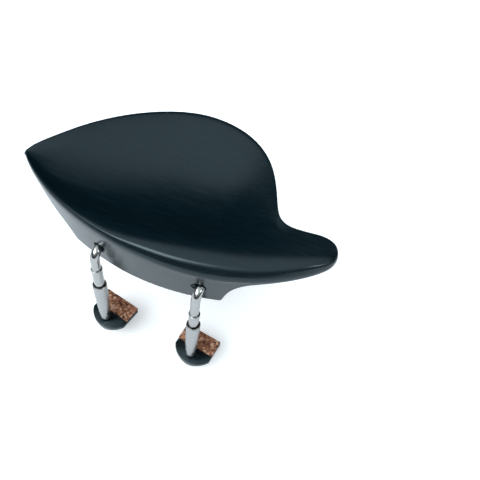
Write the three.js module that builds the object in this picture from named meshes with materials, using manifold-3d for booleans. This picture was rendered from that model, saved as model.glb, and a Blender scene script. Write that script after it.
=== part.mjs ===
// Violin chinrest with two Hill-style clamp legs.
// Millimetres, +Z up. The origin is the centre of the underside of the cork strip that rests on the violin's edge.
// +X runs along the riser towards the rounded lip, +Y runs inwards over the violin, -Y points at the player's neck.
import * as THREE from 'three';
import { mergeVertices } from 'three/addons/utils/BufferGeometryUtils.js';
import Module from 'manifold-3d';

// ---------------------------------------------------------------- driving dimensions
// chin plate outline: front crease (side towards the neck) and back edge, seen from above
const FRONT = [[-58.3, 13.0], [-54.2, 9.3], [-49.5, 5.75], [-45.1, 2.9], [-41.0, 0.55], [-34.6, -2.45], [-28.5, -4.75], [-21.0, -6.9], [-12.5, -8.7],
  [-4.0, -9.6], [4.5, -9.55], [15.0, -8.35], [24.5, -6.15], [32.0, -3.6], [39.8, 0.0], [45.7, 3.65], [51.2, 7.95], [54.6, 11.35], [56.6, 14.3], [57.25, 16.6]];
const BACK = [[-58.3, 13.0], [-57.0, 17.0], [-51.9, 25.0], [-46.4, 32.6], [-40.2, 39.5], [-33.3, 45.6], [-25.8, 50.8], [-17.6, 55.0], [-10.1, 57.4],
  [-3.5, 58.2], [3.9, 57.7], [11.7, 55.3], [18.5, 50.9], [24.0, 44.8], [27.7, 38.3], [30.9, 30.8], [33.1, 25.4], [35.1, 22.4], [37.7, 20.9], [41.1, 20.6],
  [45.0, 21.1], [48.9, 21.9], [52.0, 22.2], [54.6, 21.7], [56.4, 20.0], [57.25, 16.6]];
// values along X, each pair [x, value]
const CREASE = [[-58.3, 18.0], [-50, 18.9], [-40, 19.4], [-26, 19.6], [-14, 19.5], [-3, 19.3], [2.5, 18.95], [7.4, 18.4], [12.3, 18.0], [17, 17.7], [22, 17.5], [30.7, 17.6], [35, 17.8], [39, 18.0], [45, 18.1], [50, 18.1], [57.25, 17.8]]; // crease between wall and rim
const RIM_R = [[-58.3, 0.5], [-40, 0.8], [-30, 1.0], [-20, 1.3], [-14, 1.65], [-8, 2.25], [0, 3.0], [8, 3.6], [14, 3.9], [22, 4.15], [30, 4.05], [38, 3.8], [46, 3.6], [52, 3.0], [57.25, 1.6]]; // radius of the rounded front rim
const RIM_A = [[-58.3, 0.6], [-40, 1.0], [-30, 1.25], [-21, 1.7], [-14.5, 2.3], [-9.5, 3.35], [-4.3, 4.05], [0.4, 4.9], [5, 5.8], [9.5, 6.6], [14, 7.3], [18.4, 7.75], [23, 8.05], [32, 8.3], [42, 8.2], [49, 7.9], [53, 6.5], [57.25, 2.2]]; // rim width, front to crest
const VALLEY_Y = [[-58.3, 13.6], [-52, 11.5], [-46, 9.5], [-40, 8.5], [-30, 10.5], [-20, 14.5], [-10, 19.0], [0, 22.0], [10, 23.5], [18, 24.5], [24, 23.5], [30, 20.5], [36, 18.5], [44, 18.5], [52, 18.5], [57.25, 17]]; // deepest line of the dish
const VALLEY_Z = [[-58.3, 18.6], [-50, 18.3], [-40, 17.2], [-25, 15.6], [-10, 14.6], [4, 14.5], [12, 15.1], [18, 16.6], [24, 18.9], [28, 20.3], [32, 21.4], [37, 22.3], [44, 22.5], [50, 21.9], [54, 20.9], [57.25, 19.4]]; // and its height
const BACK_TOP = [[-58.3, 18.9], [-50, 20.6], [-40, 21.7], [-25, 22.6], [-5, 23.2], [10, 23.0], [20, 22.8], [28, 22.6], [34, 22.5], [40, 22.5], [46, 22.3], [51, 21.7], [57.25, 19.7]]; // height of the back edge
const LOWER_EDGE = [[-58.3, 17.3], [-54, 17.3], [-50, 17.0], [-46.5, 15.9], [-43.5, 14.2], [-41, 12.1], [-38.3, 10.1], [-35.6, 7.9], [-33.2, 5.4], [-31.5, 3.0], [-30.6, 1.25],
  [-20, 1.25], [0, 1.25], [20, 1.25], [25.6, 1.25], [26.0, 2.6], [26.45, 4.4], [27.2, 7.0], [28.3, 9.6], [29.8, 11.8], [31.6, 13.5], [34.2, 14.9], [39.9, 16.1], [45.7, 16.7], [51.4, 17.0], [57.25, 17.2]];
const RIM_ARC = 70, RIM_FLAT = 37, SHOULDER = 20;     // degrees the rim turns on its radius, then how steeply its shoulder starts
const LEAN_Z = 18.0, WALL_LEAN = 0.125; // below this height the front wall leans in by this much per mm going down
const EDGE_R = 2.4, EDGE_TOP_R = 1.0;  // back edge: rounded underneath and on top
const PLATE_T = 6.0;                   // thickness under the dish
const RISER_BACK_Y = 6.6;              // back face of the riser
const RISER_Z0 = 1.25;                 // underside of the wooden riser
const RISER_X0 = -30.6, RISER_X1 = 25.6;
const RISER_CORK_T = 1.2;
// clamp legs
const LEG_X = 18.65, LEG_Y = -9.5;     // leg axes are at x = -LEG_X and +LEG_X
const HOOK_Z = 8.7;                    // height of the hook's arm in the riser
const HOOK_R = 1.65, HOOK_BEND = 3.3, HOOK_END_Y = 3.6, HOOK_TAIL_R = 1.2, HOOK_TAIL_L = 5.6;
const HOOK_HOLE_R = 1.95, HOOK_SINK_R = 2.55, HOOK_SINK_D = 1.0;
const SLEEVE_R = 1.93, SLEEVE_RING_R = 2.05, SLEEVE_SHANK_R = 1.5, SLEEVE_IN_BARREL = 13.0, SLEEVE_BORE_R = 1.3;
const BARREL_L = 26.0, BARREL_R = 2.59, BARREL_END_R = 1.95, BARREL_MOUTH_R = 2.07, BARREL_MOUTH_D = 5.6, BARREL_BORE_R = 1.56, BARREL_BORE_D = 17.6,
  BARREL_WELL_R = 1.42, BARREL_WELL_D = 24.4, BARREL_NECK_R = 0.98, KEY_HOLE_R = 0.8, KEY_HOLE_D = 19.6;
const STUD_R = 0.85, STUD_HEAD_R = 1.3, STUD_HEAD_T = 1.2;
const FOOT_W = 15.8, FOOT_CORK_Y0 = 3.35, FOOT_CORK_L = 7.05, FOOT_CORK_T = 1.5, FOOT_T = 4.6, FOOT_NOSE_Y = -3.3, FOOT_CORNER_Y = 1.3;
const FOOT_HOLE_R = 1.05, FOOT_RECESS_R = 2.15, FOOT_RECESS_D = 2.6;
const WASHER_R = 1.95, WASHER_T = 0.4, NUT_AF = 3.2, NUT_T = 1.4;
const LEGS = [
  { side: 'left', x: -LEG_X, ring: 0.2, barrelTop: -10.05, corkTop: -35.15, turn: -12.0 },
  { side: 'right', x: LEG_X, ring: -3.7, barrelTop: -11.5, corkTop: -36.6, turn: -8.0 },
];

// ---------------------------------------------------------------- materials
const mat = (color, roughness, metalness) => new THREE.MeshStandardMaterial({ color, roughness, metalness });
const blackWood = mat(0x0f1619, 0.32, 0), steel = mat(0xc9c9c6, 0.16, 1), barrelSteel = mat(0xbfbfbd, 0.28, 1), cork = mat(0xa8785c, 0.95, 0), brass = mat(0xb89a55, 0.3, 1);

// ---------------------------------------------------------------- helpers
const wasm = await Module();
wasm.setup();

// natural cubic spline through values v at parameters t
function spline(t, v) {
  const n = t.length, m = new Array(n).fill(0), a = [], b = [], c = [], d = [];
  for (let i = 0; i < n; i++) { a[i] = 0; b[i] = 1; c[i] = 0; d[i] = 0; }
  for (let i = 1; i < n - 1; i++) {
    a[i] = t[i] - t[i - 1]; b[i] = 2 * (t[i + 1] - t[i - 1]); c[i] = t[i + 1] - t[i];
    d[i] = 6 * ((v[i + 1] - v[i]) / c[i] - (v[i] - v[i - 1]) / a[i]);
  }
  for (let i = 1; i < n; i++) { const w = a[i] / b[i - 1]; b[i] -= w * c[i - 1]; d[i] -= w * d[i - 1]; }
  for (let i = n - 1; i >= 0; i--) m[i] = (d[i] - (i < n - 1 ? c[i] * m[i + 1] : 0)) / b[i];
  return (q) => {
    let i = 0; while (i < n - 2 && q > t[i + 1]) i++;
    const h = t[i + 1] - t[i], A = (t[i + 1] - q) / h, B = (q - t[i]) / h;
    return A * v[i] + B * v[i + 1] + ((A ** 3 - A) * m[i] + (B ** 3 - B) * m[i + 1]) * h * h / 6;
  };
}
// y as a function of x along a plan curve that is spline-smooth in its chord length
function planCurve(pts) {
  const s = [0]; for (let i = 1; i < pts.length; i++) s.push(s[i - 1] + Math.hypot(pts[i][0] - pts[i - 1][0], pts[i][1] - pts[i - 1][1]));
  const fx = spline(s, pts.map((p) => p[0])), fy = spline(s, pts.map((p) => p[1]));
  const N = 1600, X = [], Y = [];
  for (let i = 0; i <= N; i++) { const q = s[s.length - 1] * i / N; X.push(fx(q)); Y.push(fy(q)); }
  return (x) => {
    let i = 1; while (i < N && X[i] < x) i++;
    const k = (x - X[i - 1]) / Math.max(1e-9, X[i] - X[i - 1]);
    return Y[i - 1] + Math.min(1, Math.max(0, k)) * (Y[i] - Y[i - 1]);
  };
}
// monotone piecewise cubic through [x, z] pairs
function profile(pts) {
  const x = pts.map((p) => p[0]), y = pts.map((p) => p[1]), n = x.length, d = [], m = [];
  for (let i = 0; i < n - 1; i++) d.push((y[i + 1] - y[i]) / (x[i + 1] - x[i]));
  m[0] = d[0]; m[n - 1] = d[n - 2];
  for (let i = 1; i < n - 1; i++) m[i] = d[i - 1] * d[i] <= 0 ? 0 : 2 / (1 / d[i - 1] + 1 / d[i]);
  return (q) => {
    if (q <= x[0]) return y[0]; if (q >= x[n - 1]) return y[n - 1];
    let i = 0; while (i < n - 2 && q > x[i + 1]) i++;
    const h = x[i + 1] - x[i], t = (q - x[i]) / h;
    return y[i] * (2 * t ** 3 - 3 * t * t + 1) + m[i] * h * (t ** 3 - 2 * t * t + t) + y[i + 1] * (3 * t * t - 2 * t ** 3) + m[i + 1] * h * (t ** 3 - t * t);
  };
}
const clamp = (v, a, b) => Math.min(b, Math.max(a, v));
const smooth = (v) => { const t = clamp(v, 0, 1); return t * t * (3 - 2 * t); };

function geometryOf(points, triangles) {
  const g = new THREE.BufferGeometry();
  g.setAttribute('position', new THREE.BufferAttribute(new Float32Array(points.flat()), 3));
  g.setIndex(triangles.flat());
  return closed(g);
}
// one vertex per corner, no empty triangles, faces outwards
function closed(g) {
  g = g.clone(); g.deleteAttribute('normal'); g.deleteAttribute('uv'); g = mergeVertices(g, 1e-4);
  const p = g.getAttribute('position'), idx = g.getIndex().array, keep = [];
  let volume = 0;
  const a = new THREE.Vector3(), b = new THREE.Vector3(), c = new THREE.Vector3();
  for (let i = 0; i < idx.length; i += 3) {
    if (idx[i] === idx[i + 1] || idx[i + 1] === idx[i + 2] || idx[i] === idx[i + 2]) continue;
    keep.push(idx[i], idx[i + 1], idx[i + 2]);
    a.fromBufferAttribute(p, idx[i]); b.fromBufferAttribute(p, idx[i + 1]); c.fromBufferAttribute(p, idx[i + 2]);
    volume += a.dot(b.cross(c)) / 6;
  }
  if (volume < 0) for (let i = 0; i < keep.length; i += 3) [keep[i + 1], keep[i + 2]] = [keep[i + 2], keep[i + 1]];
  g.setIndex(keep); g.computeVertexNormals();
  return g;
}
const solid = (g) => new wasm.Manifold(new wasm.Mesh({ numProp: 3, vertProperties: new Float32Array(g.getAttribute('position').array), triVerts: new Uint32Array(g.getIndex().array) }));
function fromSolid(m) {
  const mesh = m.getMesh(), g = new THREE.BufferGeometry(), n = mesh.vertProperties.length / mesh.numProp, pos = new Float32Array(n * 3);
  for (let i = 0; i < n; i++) for (let k = 0; k < 3; k++) pos[3 * i + k] = mesh.vertProperties[i * mesh.numProp + k];
  g.setAttribute('position', new THREE.BufferAttribute(pos, 3)); g.setIndex(Array.from(mesh.triVerts));
  return closed(g);
}
const cut = (g, ...tools) => { let s = solid(g); for (const t of tools) s = s.subtract(solid(t)); return fromSolid(s); };
// turned piece: [r, z] profile, closed on the axis or on itself
const turned = (pts, seg = 24) => closed(new THREE.LatheGeometry(pts.map(([r, z]) => new THREE.Vector2(r, z)), seg).rotateX(Math.PI / 2));
// rings of equal point count joined into a closed skin with flat ends
function loft(rings) {
  const n = rings[0].length, pts = rings.flat(), tri = [];
  for (let i = 0; i < rings.length - 1; i++) for (let k = 0; k < n; k++) {
    const a = i * n + k, b = i * n + (k + 1) % n, c = a + n, d = b + n;
    tri.push([a, c, b], [b, c, d]);
  }
  for (const [r, flip] of [[0, false], [rings.length - 1, true]]) {
    const mid = rings[r].reduce((s, p) => [s[0] + p[0] / n, s[1] + p[1] / n, s[2] + p[2] / n], [0, 0, 0]), m = pts.length; pts.push(mid);
    for (let k = 0; k < n; k++) { const a = r * n + k, b = r * n + (k + 1) % n; tri.push(flip ? [a, m, b] : [a, b, m]); }
  }
  return geometryOf(pts, tri);
}

// ---------------------------------------------------------------- chin plate
const X0 = -58.3, X1 = 57.25;
// f averaged over +-w mm, so a profile's corners are rounded
const soft = (f, w) => (x) => [-1, -0.66, -0.33, 0, 0.33, 0.66, 1].reduce((s, k) => s + f(clamp(x + k * w, X0, X1)) / 7, 0);
const frontY = planCurve(FRONT), backY = planCurve(BACK), lowerEdge = soft(profile(LOWER_EDGE), 0.25);
const [creaseZ, rimR, rimA, valleyY, valleyZ, backTop] = [CREASE, RIM_R, RIM_A, VALLEY_Y, VALLEY_Z, BACK_TOP].map((t) => soft(profile(t), 3));
const ARC = RIM_ARC * Math.PI / 180, FLAT = RIM_FLAT * Math.PI / 180, SH = SHOULDER * Math.PI / 180;

// front rim, crest, valley and back edge of the upper surface at x
function topOf(x) {
  const yf = frontY(x), yb = backY(x), w = Math.max(0.6, yb - yf), a = Math.min(rimA(x), w * 0.4), r = Math.min(rimR(x), a * 1.1);
  const y1 = yf + r * (1 - Math.cos(ARC)), z1 = creaseZ(x) + r * Math.sin(ARC), run = Math.max(0.05, yf + a - y1), crest = z1 - run / SH * Math.log(Math.cos(SH));
  const yc = y1 + run, ye = yb - Math.min(1.2, w * 0.1), yv = clamp(valleyY(x), yc + 0.15 * (ye - yc), yc + 0.75 * (ye - yc));
  return { yf, yb, w, r, y1, z1, run, yc, crest, yv, ye, zb: backTop(x), zv: Math.min(valleyZ(x), crest - 0.02, backTop(x) - 0.02) };
}
// height of the upper surface behind the rim's rounded part
function height(T, y) {
  if (y <= T.yc) { const u = clamp((y - T.y1) / T.run, 0, 1); return T.z1 + T.run / SH * Math.log(Math.cos(SH * (1 - u)) / Math.cos(SH)); }
  if (y < T.yv) { const q = (y - T.yc) / (T.yv - T.yc), drop = 0.35 * q * q * (3 - 2 * q) + 0.65 * (1 - (1 - q) ** 3 * (1 + 3 * q)); return T.crest - (T.crest - T.zv) * drop; }
  const t = clamp((y - T.yv) / (T.ye - T.yv), 0, 1);
  return T.zv + (T.zb - T.zv) * (1 - Math.cos(t * Math.PI * 0.66)) / (1 - Math.cos(Math.PI * 0.66));
}
function section(x) {
  const T = topOf(x), { yf, yb, w, r } = T, zl = lowerEdge(x), zc = Math.max(zl + 0.3, creaseZ(x)), lift = zc - creaseZ(x), rise = r * Math.sin(ARC), ring = [];
  // the rim's curve has a flatter stretch where it leans RIM_FLAT degrees, just above the wall
  const drop = clamp(creaseZ(x) - zl - 0.3, 0, (0.2 + 0.22 * r) * Math.cos(FLAT)), flatY = drop * Math.tan(FLAT), squeeze = (1 - Math.cos(ARC)) * r / ((1 - Math.cos(ARC)) * r + flatY);
  const er = Math.min(EDGE_R, w * 0.3, 0.42 * (T.zb - Math.min(zl, 17.4))), tr = Math.min(EDGE_TOP_R, er * 0.45);
  const lean = (z) => Math.min(WALL_LEAN * Math.max(0, LEAN_Z - z), w * 0.2), yw = yf + lean(zl);
  // front wall, bottom to crease, then the rounded rim
  for (let k = 0; k < 3; k++) { const z = zl + (zc - drop - zl) * k / 3; ring.push([yf + lean(z), z]); }
  for (const deg of [0, 12, 24, 33, 41, 51, 61, RIM_ARC]) {
    const a = deg * Math.PI / 180, f = smooth((a - FLAT) / 0.22 + 0.5);
    ring.push([yf + (r * (1 - Math.cos(a)) + flatY * f) * squeeze, zc + (rise - lift) / rise * r * Math.sin(a) - drop * (1 - f)]);
  }
  // shoulder and dish
  const y1 = yb - tr, y2 = yb - er;
  for (let k = 1; k <= 3; k++) { const y = T.y1 + T.run * k / 3; ring.push([y, height(T, y)]); }
  for (let k = 1; k <= 12; k++) { const t = k / 12, y = T.yc + (y1 - T.yc) * (0.6 * t + 0.4 * t * t); ring.push([y, height(T, y)]); }
  // back edge: rounded on top, then rounder underneath
  const zt = height(T, y1), et = Math.min(2 * er, zt - zl + 1);
  for (let k = 1; k <= 3; k++) { const a = Math.PI / 2 * k / 3; ring.push([y1 + tr * Math.sin(a), zt - tr + tr * Math.cos(a)]); }
  for (let k = 1; k <= 4; k++) { const a = Math.PI / 2 * k / 4; ring.push([y2 + er * Math.cos(a), zt - tr - (et - tr) * Math.sin(a)]); }
  // underside, back to front, down to the riser's back face
  const under = (y) => height(T, y) - (et + (PLATE_T - et) * smooth((yb - y) / 14));
  const yr = clamp(RISER_BACK_Y, yw + 0.18 * (y2 - yw), yw + 0.75 * (y2 - yw)), yq = Math.min(yr + 3.2, yr + 0.45 * (y2 - yr));
  for (let k = 1; k <= 7; k++) { const y = y2 + (yq - y2) * k / 7; ring.push([y, under(y)]); }
  const zu = under(yq), zlow = Math.min(zl, zu - 0.25), h = zu - zlow;
  ring.push([yr + (yq - yr) * 0.42, zu - Math.min(h * 0.3, 0.9)]);
  ring.push([yr + (yq - yr) * 0.08, zu - Math.min(h * 0.6, 3.0)]);
  ring.push([yr, zlow + (h > 4 ? 0 : h * 0.1)]);
  for (let k = 1; k <= 3; k++) { const y = yr + (yw - yr) * k / 4; ring.push([y, zlow + (zl - zlow) * smooth(k / 4)]); }
  return ring;
}
function stations() {
  const xs = [];
  for (const [a, b, n] of [[X0, -54, 4], [-54, -31.5, 9], [-31.5, -30.6, 1], [-30.6, 25.6, 18], [25.6, 28.3, 4], [28.3, 38, 8], [38, 52, 8]]) for (let i = 0; i < n; i++) xs.push(a + (b - a) * i / n);
  for (let i = 0; i <= 6; i++) xs.push(52 + (X1 - 52) * Math.sin(i / 6 * Math.PI / 2));
  return xs;
}
function plateSkin() {
  const rings = [];
  for (const x of stations()) {
    const ring = section(x), zs = ring.map((p) => p[1]), hi = Math.max(...zs), lo = Math.min(...zs), mid = (hi + lo) / 2;
    // the two ends are rounded in height as well
    const dl = clamp((x - X0) / 1.6, 0, 1), dr = clamp((X1 - x) / 2.6, 0, 1);
    const q = Math.min(0.35 + 0.65 * Math.sqrt(1 - (1 - dl) ** 2), 0.22 + 0.78 * Math.sqrt(1 - (1 - dr) ** 2));
    rings.push(ring.map(([y, z]) => [x, y, q < 1 ? mid + (z - mid) * q : z]));
  }
  return loft(rings);
}
// countersink at the wall, then a blind hole with a drill-point end; both run along +Y
const hookSink = (x) => {
  const y = frontY(x) + WALL_LEAN * (LEAN_Z - HOOK_Z);
  const r1 = HOOK_SINK_R + 1.2;
  return turned([[0, 0], [r1, 0], [r1, 1.2], [HOOK_HOLE_R - 0.1, 1.2 + (r1 - HOOK_HOLE_R + 0.1)], [0, 1.2 + (r1 - HOOK_HOLE_R + 0.1)]], 24).rotateX(-Math.PI / 2).translate(x, y - 2.4, HOOK_Z);
};
const hookHole = (x) => turned([[0, 0], [HOOK_HOLE_R, 0], [HOOK_HOLE_R, HOOK_END_Y + 0.6 - LEG_Y], [0, HOOK_END_Y + 1.5 - LEG_Y]], 24).rotateX(-Math.PI / 2).translate(x, LEG_Y, HOOK_Z);
const plateGeometry = cut(plateSkin(), ...LEGS.flatMap((l) => [hookHole(l.x), hookSink(l.x)]));

// ---------------------------------------------------------------- riser cork strip
function riserCork() {
  const s = new THREE.Shape(), n = 14, inset = 0.45;
  const yAt = (x) => frontY(x) + WALL_LEAN * (LEAN_Z - RISER_Z0) + inset;
  const a = RISER_X0 + 0.5, b = RISER_X1 - 0.5;
  s.moveTo(a, yAt(a)); for (let i = 1; i <= n; i++) { const x = a + (b - a) * i / n; s.lineTo(x, yAt(x)); }
  s.lineTo(b, RISER_BACK_Y - inset); s.lineTo(a, RISER_BACK_Y - inset);
  return closed(new THREE.ExtrudeGeometry(s, { depth: RISER_CORK_T, bevelEnabled: false, steps: 1 }));
}

// ---------------------------------------------------------------- clamp leg pieces, each about its own vertical axis
function hook(leg) {
  const N = 16, rings = [], zEnd = leg.ring + 0.1;
  const ringAt = (y, z, ty, tz, r) => { // circle about (0, y, z), normal to the direction (0, ty, tz)
    const out = []; for (let k = 0; k < N; k++) { const a = 2 * Math.PI * k / N; out.push([r * Math.cos(a), y + r * Math.sin(a) * -tz, z + r * Math.sin(a) * ty]); }
    return out;
  };
  const arm = HOOK_END_Y - LEG_Y;
  rings.push(ringAt(arm, HOOK_Z, -1, 0, HOOK_R - 0.35), ringAt(arm - 0.35, HOOK_Z, -1, 0, HOOK_R));
  for (let i = 0; i <= 8; i++) { const a = Math.PI / 2 * i / 8; rings.push(ringAt(HOOK_BEND - HOOK_BEND * Math.sin(a), HOOK_Z - HOOK_BEND + HOOK_BEND * Math.cos(a), -Math.cos(a), -Math.sin(a), HOOK_R)); }
  rings.push(ringAt(0, zEnd, 0, -1, HOOK_R), ringAt(0, zEnd, 0, -1, HOOK_TAIL_R), ringAt(0, zEnd - HOOK_TAIL_L + 0.4, 0, -1, HOOK_TAIL_R), ringAt(0, zEnd - HOOK_TAIL_L, 0, -1, HOOK_TAIL_R - 0.4));
  return loft(rings);
}
function sleeve(leg) {
  const t = leg.ring, b = leg.barrelTop - 0.9, e = leg.barrelTop - SLEEVE_IN_BARREL, R = SLEEVE_R;
  return turned([[SLEEVE_BORE_R, t], [R - 0.1, t], [SLEEVE_RING_R, t - 0.15], [SLEEVE_RING_R, t - 0.5], [R, t - 0.7], [R, b + 0.2], [R - 0.2, b], [SLEEVE_SHANK_R, b], [SLEEVE_SHANK_R, e + 0.35],
    [SLEEVE_SHANK_R - 0.35, e], [0, e], [0, t - HOOK_TAIL_L - 0.6], [SLEEVE_BORE_R, t - HOOK_TAIL_L - 0.3], [SLEEVE_BORE_R, t]], 20);
}
function barrel(leg) {
  const t = leg.barrelTop, L = BARREL_L, R = BARREL_R, E = BARREL_END_R;
  const body = turned([[BARREL_MOUTH_R, t - 0.35], [BARREL_MOUTH_R + 0.22, t], [R - 0.16, t], [R, t - 0.16], [R, t - 4], [R - 0.08, t - 10], [R - 0.3, t - 18], [E + 0.04, t - L + 1.8], [E - 0.25, t - L + 0.7], [E - 0.75, t - L + 0.1], [E - 0.95, t - L],
    [BARREL_NECK_R, t - L], [BARREL_NECK_R, t - BARREL_WELL_D], [BARREL_WELL_R, t - BARREL_WELL_D], [BARREL_WELL_R, t - BARREL_BORE_D - 0.2], [BARREL_BORE_R, t - BARREL_BORE_D], [BARREL_BORE_R, t - BARREL_MOUTH_D - 0.4],
    [BARREL_MOUTH_R, t - BARREL_MOUTH_D], [BARREL_MOUTH_R, t - 0.35]], 20);
  const key = turned([[0, -4], [KEY_HOLE_R, -4], [KEY_HOLE_R, 4], [0, 4]], 12).rotateX(Math.PI / 2).rotateZ(THREE.MathUtils.degToRad(72)).translate(0, 0, t - KEY_HOLE_D);
  return cut(body, key);
}
function stud(leg) {
  const floor = leg.barrelTop - BARREL_WELL_D, end = leg.corkTop - FOOT_CORK_T - FOOT_T + 0.25;
  return turned([[0, floor + 0.15 + STUD_HEAD_T], [STUD_HEAD_R - 0.25, floor + 0.15 + STUD_HEAD_T], [STUD_HEAD_R, floor + 0.15 + STUD_HEAD_T - 0.25], [STUD_HEAD_R, floor + 0.15], [STUD_R, floor + 0.15], [STUD_R, end + 0.25], [STUD_R - 0.25, end], [0, end]], 16);
}
const recessTop = (leg) => leg.corkTop - FOOT_CORK_T - FOOT_T + FOOT_RECESS_D;
function washer(leg) {
  const t = recessTop(leg) - 0.12;
  return turned([[STUD_R + 0.1, t], [WASHER_R, t], [WASHER_R, t - WASHER_T], [STUD_R + 0.1, t - WASHER_T], [STUD_R + 0.1, t]], 16);
}
function nut(leg) {
  const t = recessTop(leg) - 0.12 - WASHER_T - 0.08, s = new THREE.Shape(), r = NUT_AF / Math.sqrt(3);
  for (let k = 0; k < 6; k++) { const a = Math.PI / 3 * k; k ? s.lineTo(r * Math.cos(a), r * Math.sin(a)) : s.moveTo(r, 0); }
  s.closePath();
  const h = new THREE.Path(); h.absarc(0, 0, STUD_R + 0.1, 0, Math.PI * 2, true); s.holes.push(h);
  return closed(new THREE.ExtrudeGeometry(s, { depth: NUT_T, bevelEnabled: false, steps: 1, curveSegments: 12 }).translate(0, 0, t - NUT_T));
}
// outline of the foot from above; +y points under the violin
function footOutline(inset, noseInset = inset) {
  const w = FOOT_W / 2 - inset, y1 = FOOT_CORK_Y0 + FOOT_CORK_L - inset, out = [];
  const nose = FOOT_NOSE_Y + noseInset, corner = FOOT_CORNER_Y + inset * 0.3, sag = corner - nose, R = (w * w + sag * sag) / (2 * sag), half = Math.asin(w / R);
  out.push([w, y1], [-w, y1]);
  for (let k = 0; k <= 12; k++) { const a = -half + 2 * half * k / 12; out.push([R * Math.sin(a), nose + R - R * Math.cos(a)]); }
  return out;
}
function foot(leg) {
  const top = leg.corkTop - FOOT_CORK_T - 0.06, bot = leg.corkTop - FOOT_CORK_T - FOOT_T;
  const ring = (inset, z, noseInset) => footOutline(inset, noseInset).map(([x, y]) => [x, y, z]);
  const body = loft([ring(2.0, bot, 0.6), ring(0.3, top - 2.4, 0.1), ring(0, top - 1.7), ring(0, top - 0.25), ring(0.25, top)]);
  const hole = turned([[0, bot - 1], [FOOT_HOLE_R, bot - 1], [FOOT_HOLE_R, top + 1], [0, top + 1]], 16);
  const recess = turned([[0, bot - 1], [FOOT_RECESS_R, bot - 1], [FOOT_RECESS_R, bot + FOOT_RECESS_D], [0, bot + FOOT_RECESS_D]], 24);
  return cut(body, hole, recess);
}
function footCork(leg) {
  const w = FOOT_W / 2 - 0.05, s = new THREE.Shape(), y1 = FOOT_CORK_Y0 + FOOT_CORK_L - 0.05;
  s.moveTo(-w, FOOT_CORK_Y0); s.lineTo(w, FOOT_CORK_Y0); s.lineTo(w, y1); s.lineTo(-w, y1); s.closePath();
  return closed(new THREE.ExtrudeGeometry(s, { depth: FOOT_CORK_T, bevelEnabled: false, steps: 1 }).translate(0, 0, leg.corkTop - FOOT_CORK_T));
}

// ---------------------------------------------------------------- assembly
const chinrest = new THREE.Group();
const add = (group, name, geometry, material) => { const m = new THREE.Mesh(geometry, material); m.name = name; group.add(m); return m; };
add(chinrest, 'chin_plate', plateGeometry, blackWood);
add(chinrest, 'riser_cork', riserCork(), cork);
for (const leg of LEGS) {
  const g = new THREE.Group();
  g.position.set(leg.x, LEG_Y, 0);
  chinrest.add(g);
  const n = (s) => `${leg.side}_${s}`;
  add(g, n('hook'), hook(leg), steel);
  add(g, n('sleeve'), sleeve(leg), steel);
  add(g, n('barrel'), barrel(leg), barrelSteel);
  add(g, n('swivel_stud'), stud(leg), brass);
  add(g, n('stud_washer'), washer(leg), steel);
  add(g, n('stud_nut'), nut(leg), brass);
  const f = new THREE.Group();
  f.rotation.z = THREE.MathUtils.degToRad(leg.turn);
  g.add(f);
  add(f, n('foot'), foot(leg), blackWood);
  add(f, n('foot_cork'), footCork(leg), cork);
}
export default chinrest;
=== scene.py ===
import math
import bpy, bmesh
import numpy as np
from mathutils import Matrix, Vector


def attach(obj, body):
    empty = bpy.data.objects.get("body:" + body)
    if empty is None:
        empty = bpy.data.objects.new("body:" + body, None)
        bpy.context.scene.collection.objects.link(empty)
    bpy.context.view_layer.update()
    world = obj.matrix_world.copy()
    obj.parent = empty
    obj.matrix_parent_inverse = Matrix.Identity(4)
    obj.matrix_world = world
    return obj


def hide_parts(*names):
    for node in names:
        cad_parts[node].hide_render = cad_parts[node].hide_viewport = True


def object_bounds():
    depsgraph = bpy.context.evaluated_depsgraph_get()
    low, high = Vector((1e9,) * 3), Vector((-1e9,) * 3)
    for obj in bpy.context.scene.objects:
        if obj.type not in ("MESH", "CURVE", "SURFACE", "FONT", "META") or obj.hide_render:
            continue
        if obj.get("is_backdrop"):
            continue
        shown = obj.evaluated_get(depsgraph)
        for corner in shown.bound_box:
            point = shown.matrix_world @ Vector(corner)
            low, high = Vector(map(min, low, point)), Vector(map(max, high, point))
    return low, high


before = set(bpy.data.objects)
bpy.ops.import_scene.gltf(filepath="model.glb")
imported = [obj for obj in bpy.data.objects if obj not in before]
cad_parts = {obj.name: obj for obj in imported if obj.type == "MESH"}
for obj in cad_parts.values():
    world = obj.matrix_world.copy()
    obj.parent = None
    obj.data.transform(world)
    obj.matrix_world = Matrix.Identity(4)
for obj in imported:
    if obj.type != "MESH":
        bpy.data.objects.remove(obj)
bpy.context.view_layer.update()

MM = 0.001

# ------------------------------------------------------------------ dimensions (mm), the same as the CAD part's
FRONT = [[-58.3, 13.0], [-54.2, 9.3], [-49.5, 5.75], [-45.1, 2.9], [-41.0, 0.55], [-34.6, -2.45], [-28.5, -4.75], [-21.0, -6.9], [-12.5, -8.7],
  [-4.0, -9.6], [4.5, -9.55], [15.0, -8.35], [24.5, -6.15], [32.0, -3.6], [39.8, 0.0], [45.7, 3.65], [51.2, 7.95], [54.6, 11.35], [56.6, 14.3], [57.25, 16.6]]
BACK = [[-58.3, 13.0], [-57.0, 17.0], [-51.9, 25.0], [-46.4, 32.6], [-40.2, 39.5], [-33.3, 45.6], [-25.8, 50.8], [-17.6, 55.0], [-10.1, 57.4],
  [-3.5, 58.2], [3.9, 57.7], [11.7, 55.3], [18.5, 50.9], [24.0, 44.8], [27.7, 38.3], [30.9, 30.8], [33.1, 25.4], [35.1, 22.4], [37.7, 20.9], [41.1, 20.6],
  [45.0, 21.1], [48.9, 21.9], [52.0, 22.2], [54.6, 21.7], [56.4, 20.0], [57.25, 16.6]]
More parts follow.
